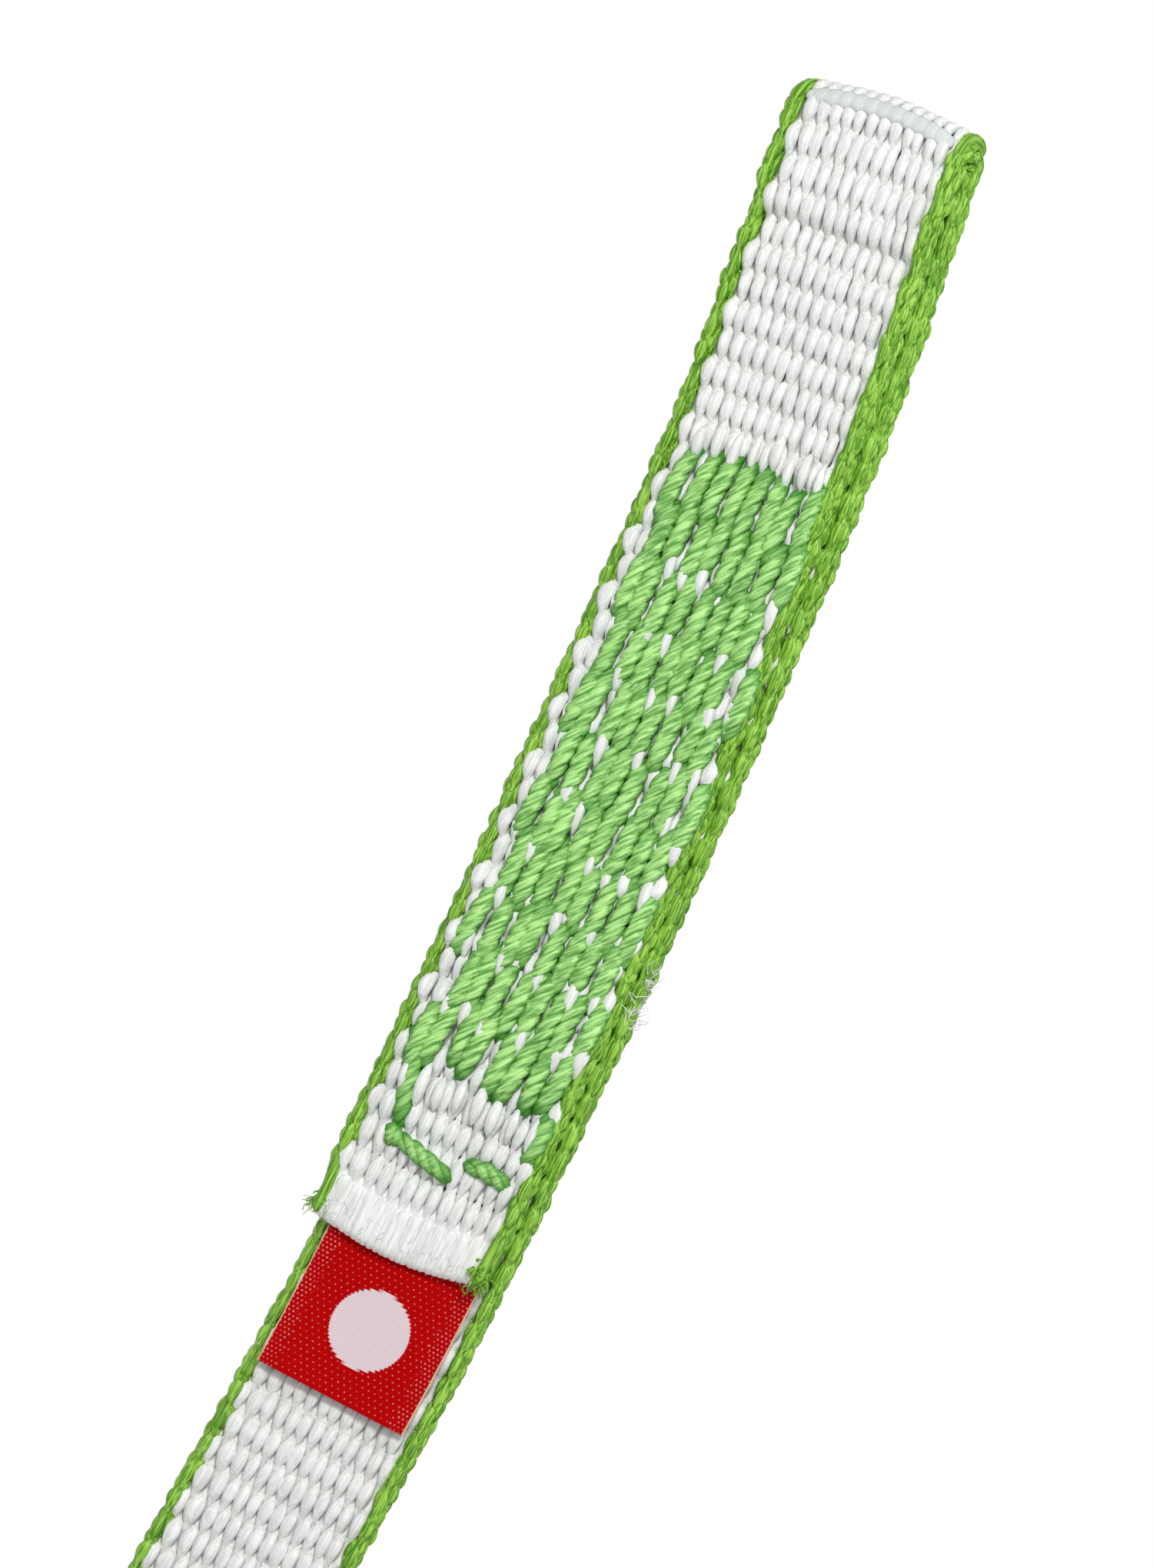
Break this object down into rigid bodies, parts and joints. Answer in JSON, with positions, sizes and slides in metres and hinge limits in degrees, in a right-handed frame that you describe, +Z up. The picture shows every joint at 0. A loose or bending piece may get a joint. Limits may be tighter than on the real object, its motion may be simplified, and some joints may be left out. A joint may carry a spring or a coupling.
{
  "type": "spring loaded camming device",
  "caption": "Climbing cam: green toothed lobes on an axle, cable stem with a thumb loop and trigger bar, hung from a white woven sling with a sewn clip-in eye.",
  "frame": {"origin": "where a carabiner bears inside the top of the sling's sewn clip-in eye", "axes": "+Z up, with the device hanging from its sling; X across the webbing and the way the lobes open; Y along the axle, with the sewn tail and label on the -Y face"},
  "size_m": [0.048, 0.0476, 0.3161],
  "materials": {
    "webbing": "white flat woven webbing with green edges",
    "thread": "thick green sewing thread",
    "label": "red woven cloth",
    "steel": "bare stainless steel",
    "collar": "plain aluminium",
    "lobe": "green anodised",
    "sleeve": "black",
    "trigger": "green",
    "ferrule": "crimped copper alloy"
  },
  "bodies": {
    "sling": {"sling_webbing": "webbing", "clip_eye_stitching_front": "thread", "clip_eye_stitching_back": "thread", "loop_eye_stitching_front": "thread", "loop_eye_stitching_back": "thread", "sling_label": "label"},
    "stem": {"stem_cable": "steel", "stem_sleeve": "sleeve", "throat_collar": "collar", "thumb_loop_cover": "sleeve", "head_terminal": "steel", "axle": "steel", "front_washer": "steel", "rear_washer": "steel", "front_spacer": "steel", "rear_spacer": "steel", "front_spring": "steel", "rear_spring": "steel", "trigger_stop": "collar"},
    "trigger": {"trigger_bar": "trigger"},
    "front_outer_cam": {"front_outer_lobe": "lobe"},
    "front_outer_link": {"front_outer_wire": "steel", "front_outer_ferrule": "ferrule"},
    "front_inner_cam": {"front_inner_lobe": "lobe"},
    "front_inner_link": {"front_inner_wire": "steel", "front_inner_ferrule": "ferrule"},
    "rear_outer_cam": {"rear_outer_lobe": "lobe"},
    "rear_outer_link": {"rear_outer_wire": "steel", "rear_outer_ferrule": "ferrule"},
    "rear_inner_cam": {"rear_inner_lobe": "lobe"},
    "rear_inner_link": {"rear_inner_wire": "steel", "rear_inner_ferrule": "ferrule"}
  },
  "joints": [
    {"name": "sling_swing", "type": "hinge", "parent": "sling", "child": "stem", "pos_m": [0.00737, 0, -0.1651], "axis": [1, 0, 0], "range_deg": [-90, 90]},
    {"name": "trigger_pull", "type": "slide", "parent": "stem", "child": "trigger", "axis": [0, 0, 1], "range_m": [0, 0.01626], "stiffness_N_per_m": 400, "springref_m": -0.01},
    {"name": "front_outer_fold", "type": "hinge", "parent": "stem", "child": "front_outer_cam", "pos_m": [0.00737, 0, -0.2991], "axis": [0, -1, 0], "range_deg": [0, 88.1], "deforming": ["front_spring"]},
    {"name": "front_outer_tilt", "type": "hinge", "parent": "trigger", "child": "front_outer_link", "pos_m": [0.01687, -0.0042, -0.2391], "axis": [0, 1, 0], "range_deg": [0, 8.25]},
    {"name": "front_inner_fold", "type": "hinge", "parent": "stem", "child": "front_inner_cam", "pos_m": [0.00737, 0, -0.2991], "axis": [0, 1, 0], "range_deg": [0, 88.1]},
    {"name": "front_inner_tilt", "type": "hinge", "parent": "trigger", "child": "front_inner_link", "pos_m": [-0.00213, -0.0042, -0.2391], "axis": [0, -1, 0], "range_deg": [0, 8.25]},
    {"name": "rear_outer_fold", "type": "hinge", "parent": "stem", "child": "rear_outer_cam", "pos_m": [0.00737, 0, -0.2991], "axis": [0, -1, 0], "range_deg": [0, 88.1], "deforming": ["rear_spring"]},
    {"name": "rear_outer_tilt", "type": "hinge", "parent": "trigger", "child": "rear_outer_link", "pos_m": [0.01687, 0.0042, -0.2391], "axis": [0, 1, 0], "range_deg": [0, 8.25]},
    {"name": "rear_inner_fold", "type": "hinge", "parent": "stem", "child": "rear_inner_cam", "pos_m": [0.00737, 0, -0.2991], "axis": [0, 1, 0], "range_deg": [0, 88.1]},
    {"name": "rear_inner_tilt", "type": "hinge", "parent": "trigger", "child": "rear_inner_link", "pos_m": [-0.00213, 0.0042, -0.2391], "axis": [0, -1, 0], "range_deg": [0, 8.25]}
  ],
  "couplings": [
    {"joint": "front_outer_fold", "follows": "trigger_pull", "rad_per_m": 94.458},
    {"joint": "front_outer_tilt", "follows": "trigger_pull", "rad_per_m": 8.8024},
    {"joint": "front_inner_fold", "follows": "trigger_pull", "rad_per_m": 94.458},
    {"joint": "front_inner_tilt", "follows": "trigger_pull", "rad_per_m": 8.8024},
    {"joint": "rear_outer_fold", "follows": "trigger_pull", "rad_per_m": 94.458},
    {"joint": "rear_outer_tilt", "follows": "trigger_pull", "rad_per_m": 8.8024},
    {"joint": "rear_inner_fold", "follows": "trigger_pull", "rad_per_m": 94.458},
    {"joint": "rear_inner_tilt", "follows": "trigger_pull", "rad_per_m": 8.8024}
  ]
}
